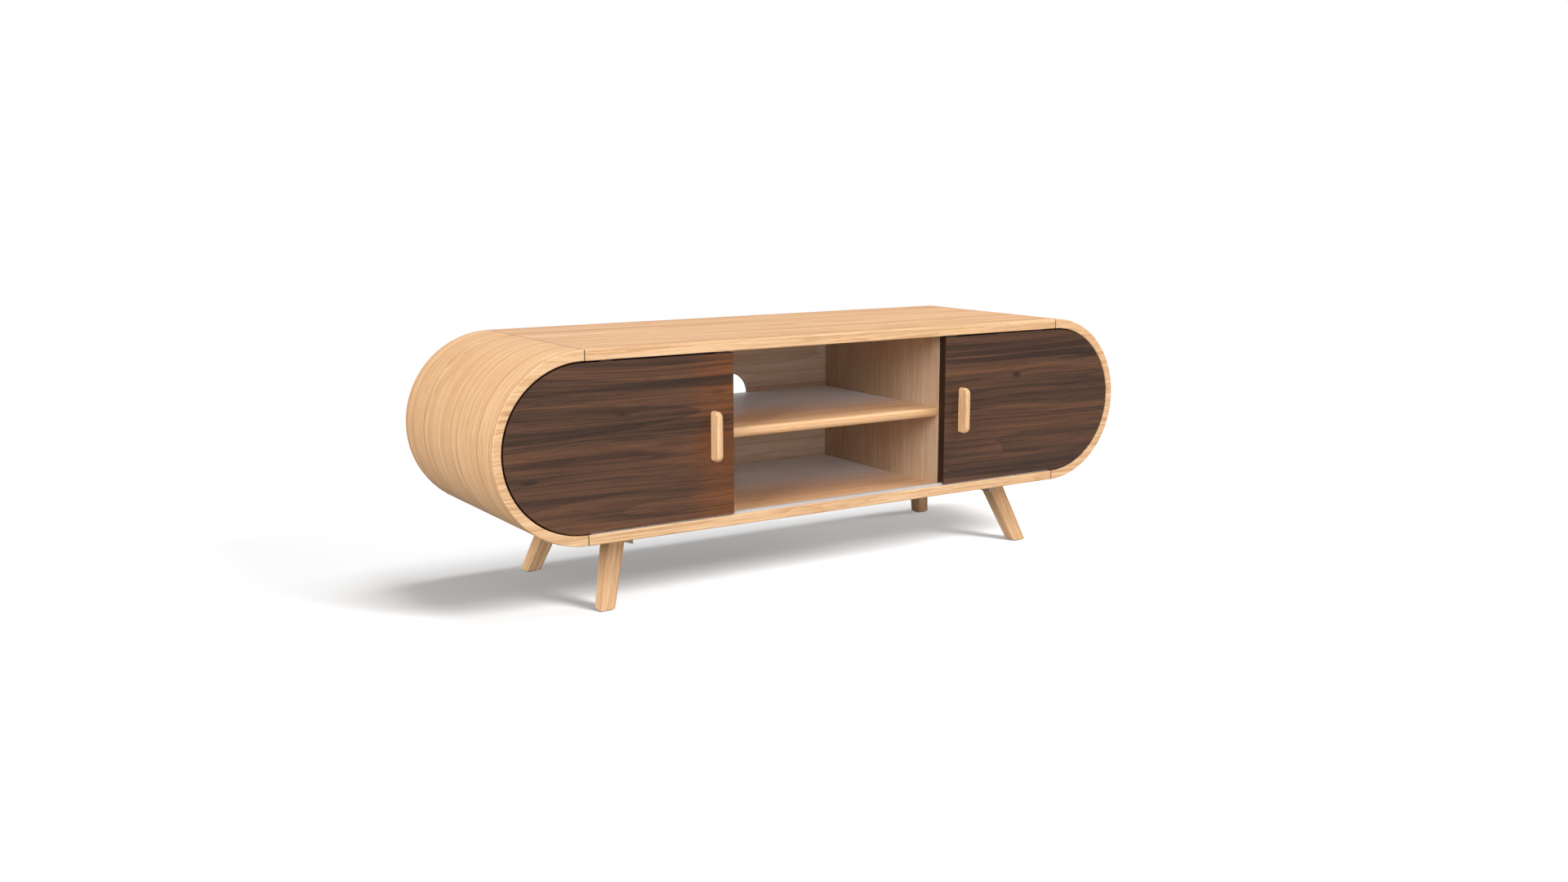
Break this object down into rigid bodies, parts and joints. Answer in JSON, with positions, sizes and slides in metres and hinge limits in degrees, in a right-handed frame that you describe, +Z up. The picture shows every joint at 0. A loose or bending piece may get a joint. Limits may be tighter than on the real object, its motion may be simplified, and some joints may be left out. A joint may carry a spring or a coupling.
{
  "type": "media cabinet",
  "caption": "Low media cabinet with half-round ends, open centre bay with shelf and cable hole, sliding doors over the side compartments and splayed tapered legs.",
  "frame": {"origin": "centre of the bounding box at floor level", "axes": "+X along the cabinet to the right seen from the front, +Y to the back, +Z up"},
  "size_m": [1.3248, 0.422, 0.442],
  "materials": {
    "oak_veneer": "matt lacquered light oak veneer",
    "solid_oak": "matt lacquered solid light oak",
    "walnut_veneer": "satin lacquered dark walnut veneer",
    "rail_plastic": "extruded, satin",
    "nylon": "moulded, matt",
    "zinc_steel": "zinc plated",
    "felt": "pressed felt",
    "plywood": "raw birch plywood"
  },
  "bodies": {
    "carcass": {"back_left_foot_pad": "felt", "back_left_leg": "solid_oak", "back_left_leg_block": "solid_oak", "back_panel": "oak_veneer", "back_right_foot_pad": "felt", "back_right_leg": "solid_oak", "back_right_leg_block": "solid_oak", "bottom_panel": "oak_veneer", "bottom_rail": "rail_plastic", "centre_shelf": "oak_veneer", "front_left_foot_pad": "felt", "front_left_leg": "solid_oak", "front_left_leg_block": "solid_oak", "front_right_foot_pad": "felt", "front_right_leg": "solid_oak", "front_right_leg_block": "solid_oak", "left_divider": "oak_veneer", "left_end_curve": "oak_veneer", "leg_bolts": "zinc_steel", "right_divider": "oak_veneer", "right_end_curve": "oak_veneer", "seam_tongues": "plywood", "shelf_tongues": "plywood", "top_channel": "rail_plastic", "top_panel": "oak_veneer", "track_stops": "nylon"},
    "left_door": {"left_door_guides": "nylon", "left_door_handle": "solid_oak", "left_door_panel": "walnut_veneer", "left_door_sliders": "nylon", "left_handle_screws": "zinc_steel"},
    "right_door": {"right_door_guides": "nylon", "right_door_handle": "solid_oak", "right_door_panel": "walnut_veneer", "right_door_sliders": "nylon", "right_handle_screws": "zinc_steel"}
  },
  "joints": [
    {"name": "left_door_slide", "type": "slide", "parent": "carcass", "child": "left_door", "axis": [1, 0, 0], "range_m": [0, 0.228]},
    {"name": "right_door_slide", "type": "slide", "parent": "carcass", "child": "right_door", "axis": [-1, 0, 0], "range_m": [0, 0.228]}
  ]
}
